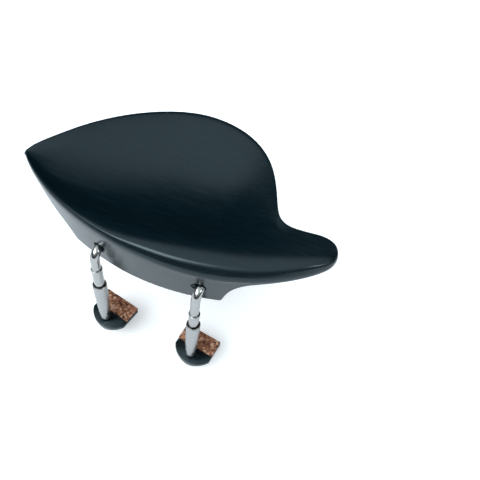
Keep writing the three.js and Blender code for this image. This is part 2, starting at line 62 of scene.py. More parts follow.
CREASE = [[-58.3, 18.0], [-50, 18.9], [-40, 19.4], [-26, 19.6], [-14, 19.5], [-3, 19.3], [2.5, 18.95], [7.4, 18.4], [12.3, 18.0], [17, 17.7], [22, 17.5], [30.7, 17.6], [35, 17.8], [39, 18.0], [45, 18.1], [50, 18.1], [57.25, 17.8]]
RIM_R = [[-58.3, 0.5], [-40, 0.8], [-30, 1.0], [-20, 1.3], [-14, 1.65], [-8, 2.25], [0, 3.0], [8, 3.6], [14, 3.9], [22, 4.15], [30, 4.05], [38, 3.8], [46, 3.6], [52, 3.0], [57.25, 1.6]]
RIM_A = [[-58.3, 0.6], [-40, 1.0], [-30, 1.25], [-21, 1.7], [-14.5, 2.3], [-9.5, 3.35], [-4.3, 4.05], [0.4, 4.9], [5, 5.8], [9.5, 6.6], [14, 7.3], [18.4, 7.75], [23, 8.05], [32, 8.3], [42, 8.2], [49, 7.9], [53, 6.5], [57.25, 2.2]]
VALLEY_Y = [[-58.3, 13.6], [-52, 11.5], [-46, 9.5], [-40, 8.5], [-30, 10.5], [-20, 14.5], [-10, 19.0], [0, 22.0], [10, 23.5], [18, 24.5], [24, 23.5], [30, 20.5], [36, 18.5], [44, 18.5], [52, 18.5], [57.25, 17]]
VALLEY_Z = [[-58.3, 18.6], [-50, 18.3], [-40, 17.2], [-25, 15.6], [-10, 14.6], [4, 14.5], [12, 15.1], [18, 16.6], [24, 18.9], [28, 20.3], [32, 21.4], [37, 22.3], [44, 22.5], [50, 21.9], [54, 20.9], [57.25, 19.4]]
BACK_TOP = [[-58.3, 18.9], [-50, 20.6], [-40, 21.7], [-25, 22.6], [-5, 23.2], [10, 23.0], [20, 22.8], [28, 22.6], [34, 22.5], [40, 22.5], [46, 22.3], [51, 21.7], [57.25, 19.7]]
LOWER_EDGE = [[-58.3, 17.3], [-54, 17.3], [-50, 17.0], [-46.5, 15.9], [-43.5, 14.2], [-41, 12.1], [-38.3, 10.1], [-35.6, 7.9], [-33.2, 5.4], [-31.5, 3.0], [-30.6, 1.25],
  [-20, 1.25], [0, 1.25], [20, 1.25], [25.6, 1.25], [26.0, 2.6], [26.45, 4.4], [27.2, 7.0], [28.3, 9.6], [29.8, 11.8], [31.6, 13.5], [34.2, 14.9], [39.9, 16.1], [45.7, 16.7], [51.4, 17.0], [57.25, 17.2]]
LEAN_Z, WALL_LEAN, EDGE_R, EDGE_TOP_R, PLATE_T, RISER_BACK_Y = 18.0, 0.125, 2.4, 1.0, 6.0, 6.6
RISER_Z0, RISER_X0, RISER_X1, RISER_CORK_T = 1.25, -30.6, 25.6, 1.2
X0, X1 = -58.3, 57.25
LEG_X, LEG_Y = 18.65, -9.5
HOOK_Z, HOOK_R, HOOK_BEND, HOOK_END_Y, HOOK_TAIL_R, HOOK_TAIL_L = 8.7, 1.65, 3.3, 3.6, 1.2, 5.6
HOOK_HOLE_R, HOOK_SINK_R = 1.95, 2.4
SLEEVE_R, SLEEVE_RING_R, SLEEVE_SHANK_R, SLEEVE_IN_BARREL, SLEEVE_BORE_R = 1.93, 2.05, 1.5, 13.0, 1.3
THREAD_PITCH, THREAD_DEPTH = 0.5, 0.27
BARREL_L, BARREL_R, BARREL_END_R, BARREL_MOUTH_R, BARREL_MOUTH_D, BARREL_BORE_R, BARREL_BORE_D = 26.0, 2.59, 1.95, 2.07, 5.6, 1.56, 17.6
BARREL_WELL_R, BARREL_WELL_D, BARREL_NECK_R, KEY_HOLE_R, KEY_HOLE_D = 1.42, 24.4, 0.98, 0.8, 19.6
STUD_R, STUD_HEAD_R, STUD_HEAD_T = 0.85, 1.3, 1.2
FOOT_W, FOOT_CORK_Y0, FOOT_CORK_L, FOOT_CORK_T, FOOT_T, FOOT_NOSE_Y, FOOT_CORNER_Y = 15.8, 3.35, 7.05, 1.5, 4.6, -3.3, 1.3
FOOT_HOLE_R, FOOT_RECESS_R, FOOT_RECESS_D = 1.05, 2.15, 2.6
WASHER_R, WASHER_T, NUT_AF, NUT_T = 1.95, 0.4, 3.2, 1.4
LEGS = [dict(side="left", x=-LEG_X, ring=0.2, top=-10.05, cork=-35.15, turn=-12.0), dict(side="right", x=LEG_X, ring=-3.7, top=-11.5, cork=-36.6, turn=-8.0)]


# ------------------------------------------------------------------ curves
def spline(t, v):
    t, v = np.array(t, float), np.array(v, float)
    n = len(t)
    a, b, c, d = np.zeros(n), np.ones(n), np.zeros(n), np.zeros(n)
    for i in range(1, n - 1):
        a[i], b[i], c[i] = t[i] - t[i - 1], 2 * (t[i + 1] - t[i - 1]), t[i + 1] - t[i]
        d[i] = 6 * ((v[i + 1] - v[i]) / c[i] - (v[i] - v[i - 1]) / a[i])
    m = np.linalg.solve(np.diag(b) + np.diag(a[1:], -1) + np.diag(c[:-1], 1), d)

    def f(q):
        q = np.asarray(q, float)
        i = np.clip(np.searchsorted(t, q) - 1, 0, n - 2)
        h = t[i + 1] - t[i]
        A, B = (t[i + 1] - q) / h, (q - t[i]) / h
        return A * v[i] + B * v[i + 1] + ((A**3 - A) * m[i] + (B**3 - B) * m[i + 1]) * h * h / 6

    return f


def plan_curve(pts):
    p = np.array(pts, float)
    s = np.r_[0, np.cumsum(np.hypot(*np.diff(p, axis=0).T))]
    q = np.linspace(0, s[-1], 4001)
    X, Y = spline(s, p[:, 0])(q), spline(s, p[:, 1])(q)
    return lambda x: float(np.interp(x, X, Y))


def profile(pts):
    x, y = np.array(pts, float).T
    n = len(x)
    d = np.diff(y) / np.diff(x)
    m = np.zeros(n)
    m[0], m[-1] = d[0], d[-1]
    for i in range(1, n - 1):
        m[i] = 0 if d[i - 1] * d[i] <= 0 else 2 / (1 / d[i - 1] + 1 / d[i])

    def f(q):
        q = min(max(q, x[0]), x[-1])
        i = min(max(int(np.searchsorted(x, q)) - 1, 0), n - 2)
        h = x[i + 1] - x[i]
        t = (q - x[i]) / h
        return float(y[i] * (2 * t**3 - 3 * t * t + 1) + m[i] * h * (t**3 - 2 * t * t + t) + y[i + 1] * (3 * t * t - 2 * t**3) + m[i + 1] * h * (t**3 - t * t))

    return f


def soft(f, w, lo=X0, hi=X1):
    """f averaged over +-w mm, so a profile's corners are rounded."""
    return lambda x: float(np.mean([f(min(max(x + k * w, lo), hi)) for k in (-1, -0.66, -0.33, 0, 0.33, 0.66, 1)]))


clamp = lambda v, a, b: min(b, max(a, v))
smooth = lambda v: (lambda t: t * t * (3 - 2 * t))(clamp(v, 0, 1))
front_y, back_y = plan_curve(FRONT), plan_curve(BACK)
crease_z, rim_r, rim_a, valley_y, valley_z, back_top = (soft(profile(t), 3) for t in (CREASE, RIM_R, RIM_A, VALLEY_Y, VALLEY_Z, BACK_TOP))
lower_edge = soft(profile(LOWER_EDGE), 0.25)


# ------------------------------------------------------------------ mesh helpers
def obj_of(name, verts, faces, body, smooth_angle=35, mats=()):
    me = bpy.data.meshes.new(name)
    me.from_pydata([tuple(c * MM for c in v) for v in verts], [], faces)
    bm = bmesh.new(); bm.from_mesh(me)
    bmesh.ops.remove_doubles(bm, verts=bm.verts, dist=1e-6)
    bmesh.ops.recalc_face_normals(bm, faces=bm.faces)
    bm.to_mesh(me); bm.free()
    o = bpy.data.objects.new(name, me)
    bpy.context.scene.collection.objects.link(o)
    shade(o, smooth_angle)
    return o


def shade(o, angle=35):
    me = o.data
    me.polygons.foreach_set("use_smooth", [True] * len(me.polygons))
    me.set_sharp_from_angle(angle=math.radians(angle))
    me.update()


def loft(rings, cap=True):
    n = len(rings[0])
    verts = [p for r in rings for p in r]
    faces = []
    for i in range(len(rings) - 1):
        for k in range(n):
            a, b = i * n + k, i * n + (k + 1) % n
            faces.append((a, b, b + n, a + n))
    if cap:
        faces.append(tuple(range(n)))
        faces.append(tuple((len(rings) - 1) * n + k for k in range(n)))
    return verts, faces


def lathe(profile_pts, seg=64, cx=0.0, cy=0.0):
    """Turned piece; the [r, z] profile closes on the axis or on itself."""
    verts, faces, idx = [], [], []
    for r, z in profile_pts:
        if r < 1e-9:
            idx.append([len(verts)] * seg); verts.append((cx, cy, z))
        else:
            idx.append([len(verts) + k for k in range(seg)])
            verts += [(cx + r * math.cos(2 * math.pi * k / seg), cy + r * math.sin(2 * math.pi * k / seg), z) for k in range(seg)]
    for i in range(len(profile_pts) - 1):
        for k in range(seg):
            q = [idx[i][k], idx[i][(k + 1) % seg], idx[i + 1][(k + 1) % seg], idx[i + 1][k]]
            f = [a for j, a in enumerate(q) if a != q[j - 1]]
            if len(set(f)) >= 3:
                faces.append(tuple(dict.fromkeys(f)))
    return verts, faces


def rounded(pts, radii, n=4):
    """A polyline with its inner corners rounded."""
    out = [pts[0]]
    for i in range(1, len(pts) - 1):
        p0, p, p1 = (np.array(q, float) for q in (pts[i - 1], pts[i], pts[i + 1]))
        r = radii[i] if isinstance(radii, (list, tuple)) else radii
        a, b = p0 - p, p1 - p
        la, lb = np.linalg.norm(a), np.linalg.norm(b)
        if r <= 0 or la < 1e-9 or lb < 1e-9:
            out.append(tuple(p)); continue
        r = min(r, la * 0.45, lb * 0.45)
        s, e = p + a / la * r, p + b / lb * r
        for k in range(n + 1):
            t = k / n
            out.append(tuple((1 - t) ** 2 * s + 2 * t * (1 - t) * p + t * t * e))
    out.append(pts[-1])
    return out


def boolean(o, tools, op="DIFFERENCE"):
    for t in tools:
        m = o.modifiers.new("cut", "BOOLEAN"); m.operation = op; m.object = t; m.solver = "EXACT"
    dg = bpy.context.evaluated_depsgraph_get()
    me = bpy.data.meshes.new_from_object(o.evaluated_get(dg), depsgraph=dg)
    o.modifiers.clear()
    old = o.data; o.data = me; bpy.data.meshes.remove(old)
    for t in tools:
        bpy.data.objects.remove(t)


def place(verts, x, y, turn=0.0):
    c, s = math.cos(math.radians(turn)), math.sin(math.radians(turn))
    return [(x + c * v[0] - s * v[1], y + s * v[0] + c * v[1], v[2]) for v in verts]


# ------------------------------------------------------------------ chin plate
ARC, FLAT, SHOULDER = math.radians(70), math.radians(37), math.radians(20)   # the rim turns this far on its radius, then flattens towards its crest


def top_of(x):
    """The plate's upper surface at x: a dictionary of its front rim, crest, valley and back edge."""
    yf, yb = front_y(x), back_y(x)
    w = max(0.6, yb - yf)
    a = min(rim_a(x), w * 0.4)
    r = min(rim_r(x), a * 1.1)
    y1, z1 = yf + r * (1 - math.cos(ARC)), crease_z(x) + r * math.sin(ARC)
    run = max(0.05, yf + a - y1)
    crest = z1 - run / SHOULDER * math.log(math.cos(SHOULDER))
    yc, ye = y1 + run, yb - min(1.2, w * 0.1)
    yv = clamp(valley_y(x), yc + 0.15 * (ye - yc), yc + 0.75 * (ye - yc))
    return dict(yf=yf, yb=yb, w=w, r=r, y1=y1, z1=z1, run=run, yc=yc, crest=crest, yv=yv, ye=ye, zb=back_top(x), zv=min(valley_z(x), crest - 0.02, back_top(x) - 0.02))


def height(T, y):
    """Height of the upper surface behind the rim's shoulder."""
    if y <= T["yc"]:
        u = clamp((y - T["y1"]) / T["run"], 0, 1)
        return T["z1"] + T["run"] / SHOULDER * math.log(math.cos(SHOULDER * (1 - u)) / math.cos(SHOULDER))
    if y < T["yv"]:
        q = (y - T["yc"]) / (T["yv"] - T["yc"])
        drop = 0.35 * q * q * (3 - 2 * q) + 0.65 * (1 - (1 - q) ** 3 * (1 + 3 * q))
        return T["crest"] - (T["crest"] - T["zv"]) * drop
    t = clamp((y - T["yv"]) / (T["ye"] - T["yv"]), 0, 1)
    return T["zv"] + (T["zb"] - T["zv"]) * (1 - math.cos(t * math.pi * 0.66)) / (1 - math.cos(math.pi * 0.66))


def section(x, nw=12, nr=30, np_=10, nd=56, ne=8, nu=22):
    T = top_of(x)
    yf, yb, w, r = T["yf"], T["yb"], T["w"], T["r"]
    zl = lower_edge(x)
    zc = max(zl + 0.3, crease_z(x))
    lift = zc - crease_z(x)
    # the rim's curve has a flatter stretch where it leans 37 degrees, just above the wall
    drop = clamp(crease_z(x) - zl - 0.3, 0, (0.20 + 0.22 * r) * math.cos(FLAT))
    flat_y = drop * math.tan(FLAT)
    squeeze = (1 - math.cos(ARC)) * r / ((1 - math.cos(ARC)) * r + flat_y)
    er = min(EDGE_R, w * 0.3, 0.42 * (T["zb"] - min(zl, 17.4)))
    lean = lambda z: min(WALL_LEAN * max(0, LEAN_Z - z), w * 0.2)
    yw = yf + lean(zl)
    ring = []
    for k in range(nw):
        z = zl + (zc - drop - zl) * k / nw
        ring.append([yf + lean(z), z])
    for k in range(nr + 1):
        a = ARC * k / nr
        f = smooth((a - FLAT) / 0.22 + 0.5)
        ring.append([yf + (r * (1 - math.cos(a)) + flat_y * f) * squeeze, zc + (r * math.sin(ARC) - lift) / (r * math.sin(ARC)) * r * math.sin(a) - drop * (1 - f)])
    tr = min(EDGE_TOP_R, er * 0.45)
    y1, y2 = yb - tr, yb - er
    for k in range(1, np_ + 1):
        y = T["y1"] + T["run"] * k / np_
        ring.append([y, height(T, y)])
    for k in range(1, nd + 1):
        t = k / nd
        y = T["yc"] + (y1 - T["yc"]) * (0.6 * t + 0.4 * t * t)
        ring.append([y, height(T, y)])
    zt = height(T, y1)
    et = min(2 * er, zt - zl + 1)
    for k in range(1, ne + 1):
        a = math.pi / 2 * k / ne
        ring.append([y1 + tr * math.sin(a), zt - tr + tr * math.cos(a)])
    for k in range(1, ne + 1):
        a = math.pi / 2 * k / ne
        ring.append([y2 + er * math.cos(a), zt - tr - (et - tr) * math.sin(a)])
    under = lambda y: height(T, y) - (et + (PLATE_T - et) * smooth((yb - y) / 14))
    yr = clamp(RISER_BACK_Y, yw + 0.18 * (y2 - yw), yw + 0.75 * (y2 - yw))
    yq = min(yr + 3.2, yr + 0.45 * (y2 - yr))
    for k in range(1, nu + 1):
        y = y2 + (yq - y2) * k / nu
        ring.append([y, under(y)])
    zu = under(yq)
    zlow = min(zl, zu - 0.25)
    h = zu - zlow
    # fillet into the riser's back face
    p0, p1, p2 = np.array([yq, zu]), np.array([yr + 0.05 * (yq - yr), zu + 0.02]), np.array([yr, zu - min(h * 0.6, 3.2)])
    for k in range(1, 9):
        t = k / 8
        ring.append(list((1 - t) ** 2 * p0 + 2 * t * (1 - t) * p1 + t * t * p2))
    zb0 = zlow + min(0.35, h * 0.2)
    for k in range(1, 6):
        ring.append([yr, p2[1] + (zb0 - p2[1]) * k / 5])
    ring.append([yr - 0.1, zlow + min(0.1, h * 0.1)])
    ring.append([yr - 0.35, zlow])
    for k in range(1, 8):
        y = yr - 0.35 + (yw + 0.3 - yr + 0.35) * k / 7
        ring.append([y, zlow + (zl - zlow) * smooth(k / 7)])
    return ring


def plate_object():
    xs = list(np.arange(X0, -52, 0.3)) + list(np.arange(-52, -31.8, 0.5)) + list(np.arange(-31.8, -29.8, 0.12)) + list(np.arange(-29.8, 24.6, 0.8)) + list(np.arange(24.6, 26.6, 0.12)) + list(np.arange(26.6, 38, 0.4)) + list(np.arange(38, 52, 0.6))
    xs += [52 + (X1 - 52) * math.sin(i / 22 * math.pi / 2) for i in range(23)]
    rings = []
    for x in xs:
        ring = section(x)
        mid = (max(p[1] for p in ring) + min(p[1] for p in ring)) / 2
        dl, dr = clamp((x - X0) / 1.6, 0, 1), clamp((X1 - x) / 2.6, 0, 1)
        q = min(0.35 + 0.65 * math.sqrt(1 - (1 - dl) ** 2), 0.22 + 0.78 * math.sqrt(1 - (1 - dr) ** 2))
        rings.append([(x, y, mid + (z - mid) * q if q < 1 else z) for y, z in ring])
    o = obj_of("chin_plate_fine", *loft(rings), body="root")
    tools = []
    for leg in LEGS:
        x = leg["x"]
        yw = front_y(x) + WALL_LEAN * (LEAN_Z - HOOK_Z)
        prof = [(0, 0), (HOOK_SINK_R + 1.6, 0), (HOOK_SINK_R + 1.2, yw - 1.2 - LEG_Y), (HOOK_SINK_R, yw - LEG_Y), (HOOK_HOLE_R + 0.1, yw + 0.45 - LEG_Y), (HOOK_HOLE_R, yw + 0.7 - LEG_Y), (HOOK_HOLE_R, HOOK_END_Y + 0.6 - LEG_Y), (0, HOOK_END_Y + 1.5 - LEG_Y)]
        v, f = lathe(prof, 48)
        v = [(p[0] + x, p[2] + LEG_Y, HOOK_Z - p[1]) for p in v]
        tools.append(obj_of("tool", v, f, body="root"))
    boolean(o, tools)
    shade(o, 38)
    return o


# ------------------------------------------------------------------ riser cork
def cork_block(name, outline, z0, z1, step, rough, seed, bevel=0.15):
    """A cork slab: its outline filled on a fine grid, top, bottom and sides slightly pitted."""
    bm = bmesh.new()
    vs = [bm.verts.new((x * MM, y * MM, z0 * MM)) for x, y in outline]
    f = bm.faces.new(vs)
    r = bmesh.ops.extrude_face_region(bm, geom=[f])
    for v in [g for g in r["geom"] if isinstance(g, bmesh.types.BMVert)]:
        v.co.z = z1 * MM
    bmesh.ops.recalc_face_normals(bm, faces=bm.faces)
    me = bpy.data.meshes.new(name); bm.to_mesh(me); bm.free()
    o = bpy.data.objects.new(name, me)
    bpy.context.scene.collection.objects.link(o)
    m = o.modifiers.new("bev", "BEVEL"); m.width = bevel * MM; m.segments = 2; m.limit_method = "ANGLE"; m.angle_limit = math.radians(50)
    m = o.modifiers.new("rm", "REMESH"); m.mode = "VOXEL"; m.voxel_size = step * MM; m.adaptivity = 0
    dg = bpy.context.evaluated_depsgraph_get()
    me2 = bpy.data.meshes.new_from_object(o.evaluated_get(dg), depsgraph=dg)
    o.modifiers.clear(); o.data = me2; bpy.data.meshes.remove(me)
    # pits and granules, always inwards so the slab keeps its size
    from mathutils import noise
    me2.update()
    normals = np.zeros(len(me2.vertices) * 3); me2.vertices.foreach_get("normal", normals); normals = normals.reshape(-1, 3)
    for i, v in enumerate(me2.vertices):
        p = Vector(v.co) * 1000 + Vector((seed * 7.3, seed * 3.1, 0))
        cell = noise.voronoi(p * 0.95)[0]
        edge = cell[1] - cell[0]
        pit = max(0.0, 0.16 - edge) / 0.16
        d = rough * (0.55 * pit + 0.45 * max(0, noise.noise(p * 2.3)) + 0.3 * max(0, noise.noise(p * 0.9 + Vector((9, 9, 9)))))
        v.co -= Vector(normals[i]) * d * MM
    shade(o, 60)
    return o


def riser_cork_object():
    n, a, b, inset = 40, RISER_X0 + 0.5, RISER_X1 - 0.5, 0.45
    pts = [(a + (b - a) * i / n, front_y(a + (b - a) * i / n) + WALL_LEAN * (LEAN_Z - RISER_Z0) + inset) for i in range(n + 1)]
    pts += [(b, RISER_BACK_Y - inset), (a, RISER_BACK_Y - inset)]
    return cork_block("riser_cork_fine", pts, 0.0, RISER_CORK_T, 0.28, 0.12, 3)


# ------------------------------------------------------------------ clamp legs
def hook_object(leg):
    N, rings, z_end = 40, [], leg["ring"] + 0.1

    def ring(y, z, ty, tz, r):
        return [(leg["x"] + r * math.cos(2 * math.pi * k / N), LEG_Y + y + r * math.sin(2 * math.pi * k / N) * -tz, z + r * math.sin(2 * math.pi * k / N) * ty) for k in range(N)]

    arm = HOOK_END_Y - LEG_Y
    for dy, r in ((0, HOOK_R - 0.35), (0.12, HOOK_R - 0.18), (0.35, HOOK_R), (1.0, HOOK_R)):
        rings.append(ring(arm - dy, HOOK_Z, -1, 0, r))
    for y in np.linspace(arm - 2, HOOK_BEND + 0.6, 6):
        rings.append(ring(y, HOOK_Z, -1, 0, HOOK_R))
    for i in range(33):
        a = math.pi / 2 * i / 32
        rings.append(ring(HOOK_BEND - HOOK_BEND * math.sin(a), HOOK_Z - HOOK_BEND + HOOK_BEND * math.cos(a), -math.cos(a), -math.sin(a), HOOK_R))
    zb = HOOK_Z - HOOK_BEND
    for k in range(1, 6):
        rings.append(ring(0, zb + (z_end + 0.25 - zb) * k / 5, 0, -1, HOOK_R))
    for dz, r in ((0.12, HOOK_R - 0.03), (0.03, HOOK_R - 0.1), (0, HOOK_R - 0.2), (0, HOOK_TAIL_R), (-HOOK_TAIL_L + 0.4, HOOK_TAIL_R), (-HOOK_TAIL_L, HOOK_TAIL_R - 0.4)):
        rings.append(ring(0, z_end + dz, 0, -1, r))
    return obj_of(leg["side"] + "_hook_fine", *loft(rings), body="root", smooth_angle=40)


def sleeve_object(leg):
    t, b, e, R = leg["ring"], leg["top"] - 0.9, leg["top"] - SLEEVE_IN_BARREL, SLEEVE_R
    pts = [(SLEEVE_BORE_R, t), (SLEEVE_RING_R, t), (SLEEVE_RING_R, t - 0.55), (R, t - 0.75), (R, b), (SLEEVE_SHANK_R, b)]
    rad = [0, 0.18, 0.15, 0.1, 0.2, 0]
    top = rounded(pts, rad, 4)
    # threaded shank: a single right-hand helix, its profile stepped in angle as well as height
    seg = 48
    verts, faces = lathe(top, seg, leg["x"], LEG_Y)
    z0, z1 = b, e
    rows = int((z0 - z1) / THREAD_PITCH * 8)
    base = len(verts)
    for i in range(rows + 1):
        zc = z0 + (z1 - z0) * i / rows
        fade = clamp(min((z0 - zc) / 0.6, (zc - z1) / 0.5), 0, 1)
        for k in range(seg):
            a = 2 * math.pi * k / seg
            ph = ((zc / THREAD_PITCH) - a / (2 * math.pi)) % 1.0
            tri = 1 - abs(2 * ph - 1)
            cutd = THREAD_DEPTH * clamp(1.25 * tri - 0.12, 0, 1)
            r = SLEEVE_SHANK_R - cutd * fade - (0.3 * clamp((z1 + 0.4 - zc) / 0.4, 0, 1))
            verts.append((leg["x"] + r * math.cos(a), LEG_Y + r * math.sin(a), zc))
    for i in range(rows):
        for k in range(seg):
            a, c = base + i * seg + k, base + i * seg + (k + 1) % seg
            faces.append((a, c, c + seg, a + seg))
    endv, endf = lathe([(SLEEVE_SHANK_R - 0.3, e), (0, e)], seg, leg["x"], LEG_Y)
    off = len(verts); verts += endv; faces += [tuple(i + off for i in f) for f in endf]
    bv, bf = lathe([(0, t - HOOK_TAIL_L - 0.6), (SLEEVE_BORE_R, t - HOOK_TAIL_L - 0.3), (SLEEVE_BORE_R, t)], seg, leg["x"], LEG_Y)
    off = len(verts); verts += bv; faces += [tuple(i + off for i in f) for f in bf]
    return obj_of(leg["side"] + "_sleeve_fine", verts, faces, body="root", smooth_angle=32)


def barrel_object(leg):
    t, L, R, E = leg["top"], BARREL_L, BARREL_R, BARREL_END_R
    outer = [(BARREL_MOUTH_R, t - 0.4), (BARREL_MOUTH_R + 0.1, t - 0.05), (BARREL_MOUTH_R + 0.22, t), (R - 0.2, t), (R, t - 0.22), (R, t - 4), (R - 0.08, t - 10), (R - 0.3, t - 18), (E + 0.04, t - L + 1.8), (E - 0.25, t - L + 0.7), (E - 0.75, t - L + 0.1), (BARREL_NECK_R, t - L)]
    rad = [0, 0.06, 0.06, 0.12, 0.12, 3, 3, 3, 1.2, 0.5, 0.3, 0]
    inner = [(BARREL_NECK_R, t - L), (BARREL_NECK_R, t - BARREL_WELL_D), (BARREL_WELL_R, t - BARREL_WELL_D), (BARREL_WELL_R, t - BARREL_BORE_D - 0.2), (BARREL_BORE_R, t - BARREL_BORE_D), (BARREL_BORE_R, t - BARREL_MOUTH_D - 0.4), (BARREL_MOUTH_R, t - BARREL_MOUTH_D), (BARREL_MOUTH_R, t - 0.4)]
    v, f = lathe(rounded(outer, rad, 5)[:-1] + inner, 64, leg["x"], LEG_Y)
    o = obj_of(leg["side"] + "_barrel_fine", v, f, body=leg["side"] + "_barrel")
    kv, kf = lathe([(0, -4), (KEY_HOLE_R, -4), (KEY_HOLE_R, 4), (0, 4)], 32)
    a = math.radians(72)
    kv = [(leg["x"] + p[2] * math.sin(a) + p[0] * math.cos(a), LEG_Y - p[2] * math.cos(a) + p[0] * math.sin(a), t - KEY_HOLE_D + p[1]) for p in kv]
    boolean(o, [obj_of("tool", kv, kf, body="root")])
    shade(o, 32)
    return o


def stud_object(leg):
    floor, end = leg["top"] - BARREL_WELL_D + 0.15, leg["cork"] - FOOT_CORK_T - FOOT_T + 0.25
    pts = [(0, floor + STUD_HEAD_T), (STUD_HEAD_R, floor + STUD_HEAD_T), (STUD_HEAD_R, floor), (STUD_R, floor), (STUD_R, end), (0, end)]
    return obj_of(leg["side"] + "_swivel_stud_fine", *lathe(rounded(pts, [0, 0.2, 0.08, 0, 0.22, 0], 3), 48, leg["x"], LEG_Y), body="root")


def washer_object(leg):
    t = leg["cork"] - FOOT_CORK_T - FOOT_T + FOOT_RECESS_D - 0.12
    pts = [(STUD_R + 0.1, t - 0.2), (STUD_R + 0.1, t), (WASHER_R, t), (WASHER_R, t - WASHER_T), (STUD_R + 0.1, t - WASHER_T), (STUD_R + 0.1, t - 0.2)]
    return obj_of(leg["side"] + "_stud_washer_fine", *lathe(rounded(pts, [0, 0.05, 0.08, 0.08, 0.05, 0], 3), 48, leg["x"], LEG_Y), body="root")


def nut_object(leg):
    t = leg["cork"] - FOOT_CORK_T - FOOT_T + FOOT_RECESS_D - 0.12 - WASHER_T - 0.08
    b, seg, ri, af = t - NUT_T, 72, STUD_R + 0.1, NUT_AF / 2
    hexr = lambda a, cut: min(af / math.cos(((a + math.pi / 6) % (math.pi / 3)) - math.pi / 6 if True else 0), af / math.cos(math.pi / 6) - cut)
    rings = []
    for z, kind, cutv in ((t - 0.15, "i", 0), (t - 0.02, "i", -0.0), (t, "i", 0.08), (t, "o", 0.28), (t - 0.14, "o", 0.0), (b + 0.14, "o", 0.0), (b, "o", 0.28), (b, "i", 0.08), (b + 0.02, "i", 0), (b + 0.15, "i", 0)):
        ring = []
        for k in range(seg):
            a = 2 * math.pi * k / seg
            if kind == "i":
                r = ri + cutv
            else:
                th = (a + math.pi / 6) % (math.pi / 3) - math.pi / 6
                r = min(af / math.cos(th - 0.0) if abs(th) <= math.pi / 6 else af, af / math.cos(math.pi / 6) - cutv)
            ring.append((leg["x"] + r * math.cos(a + math.pi / 6), LEG_Y + r * math.sin(a + math.pi / 6), z))
        rings.append(ring)
    rings.append(rings[0])
    v, f = loft(rings, cap=False)
    return obj_of(leg["side"] + "_stud_nut_fine", v, f, body="root", smooth_angle=25)


def foot_outline(inset, nose_inset=None, n=40, corner_r=0.5):
    nose_inset = inset if nose_inset is None else nose_inset
    w, y1 = FOOT_W / 2 - inset, FOOT_CORK_Y0 + FOOT_CORK_L - inset
    nose, corner = FOOT_NOSE_Y + nose_inset, FOOT_CORNER_Y + inset * 0.3
    sag = corner - nose
    R = (w * w + sag * sag) / (2 * sag)
    half = math.asin(w / R)
    pts = []
    # back edge with small corner radii, then the sides, then the rounded front
    cr = 0.45
    for cx, cy, a0 in ((w - cr, y1 - cr, 0), (-w + cr, y1 - cr, 90)):
        for k in range(7):
            a = math.radians(a0 + 90 * k / 6)
            pts.append((cx + cr * math.cos(a), cy + cr * math.sin(a)))
    for k in range(1, 8):
        pts.append((-w, y1 - cr + (corner + 0.3 - y1 + cr) * k / 8))
    for k in range(n + 1):
        a = -half + 2 * half * k / n
        pts.append((R * math.sin(a), nose + R - R * math.cos(a)))
    for k in range(1, 8):
        pts.append((w, corner + 0.3 + (y1 - cr - corner - 0.3) * k / 8))
    return pts


def foot_object(leg):
    top, bot = leg["cork"] - FOOT_CORK_T - 0.06, leg["cork"] - FOOT_CORK_T - FOOT_T
    rings = []
    for inset, z, nose in ((2.35, bot, 0.85), (2.0, bot + 0.08, 0.6), (1.8, bot + 0.3, 0.5), (1.05, bot + 1.1, 0.3), (0.42, top - 2.55, 0.14), (0.18, top - 2.1, 0.06), (0.04, top - 1.75, 0.01), (0.0, top - 1.4, 0.0), (0.0, top - 0.35, 0.0), (0.03, top - 0.2, 0.03), (0.1, top - 0.08, 0.1), (0.22, top, 0.22)):
        rings.append([(x, y, z) for x, y in foot_outline(inset, nose)])
    v, f = loft(rings)
    o = obj_of(leg["side"] + "_foot_fine", place(v, leg["x"], LEG_Y, leg["turn"]), f, body="root")
    tools = []
    for prof in ([(0, bot - 1), (FOOT_RECESS_R, bot - 1), (FOOT_RECESS_R, bot + FOOT_RECESS_D), (FOOT_HOLE_R, bot + FOOT_RECESS_D), (FOOT_HOLE_R, top - 0.25), (FOOT_HOLE_R + 0.3, top + 0.05), (FOOT_HOLE_R + 0.3, top + 1), (0, top + 1)],):
        tv, tf = lathe(prof, 48, leg["x"], LEG_Y)
        tools.append(obj_of("tool", tv, tf, body="root"))
    boolean(o, tools)
    shade(o, 38)
    return o


def foot_cork_object(leg):
    w, y1, y0 = FOOT_W / 2 - 0.05, FOOT_CORK_Y0 + FOOT_CORK_L - 0.05, FOOT_CORK_Y0
    pts = place([(-w, y0, 0), (w, y0, 0), (w, y1, 0), (-w, y1, 0)], leg["x"], LEG_Y, leg["turn"])
    return cork_block(leg["side"] + "_foot_cork_fine", [(p[0], p[1]) for p in pts], leg["cork"] - FOOT_CORK_T, leg["cork"], 0.16, 0.11, 11 if leg["side"] == "left" else 23, 0.12)


# ------------------------------------------------------------------ materials
def material(name):
    m = bpy.data.materials.new(name)
    m.use_nodes = True
    nt = m.node_tree
    nt.nodes.clear()
    out = nt.nodes.new("ShaderNodeOutputMaterial")
    b = nt.nodes.new("ShaderNodeBsdfPrincipled")
    nt.links.new(b.outputs["BSDF"], out.inputs["Surface"])
    return m, nt, b


def node(nt, kind, **inputs):
    n = nt.nodes.new(kind)
    for k, v in inputs.items():
        k = k.replace("_", " ") if k.replace("_", " ") in n.inputs else k
        if k in n.inputs:
            n.inputs[k].default_value = v
        else:
            setattr(n, k, v)
    return n


def coords(nt, scale=(1, 1, 1), rot=(0, 0, 0)):
    tc = nt.nodes.new("ShaderNodeTexCoord")
    mp = nt.nodes.new("ShaderNodeMapping")
    mp.inputs["Scale"].default_value = scale
    mp.inputs["Rotation"].default_value = rot
    nt.links.new(tc.outputs["Object"], mp.inputs["Vector"])
    return mp.outputs["Vector"]


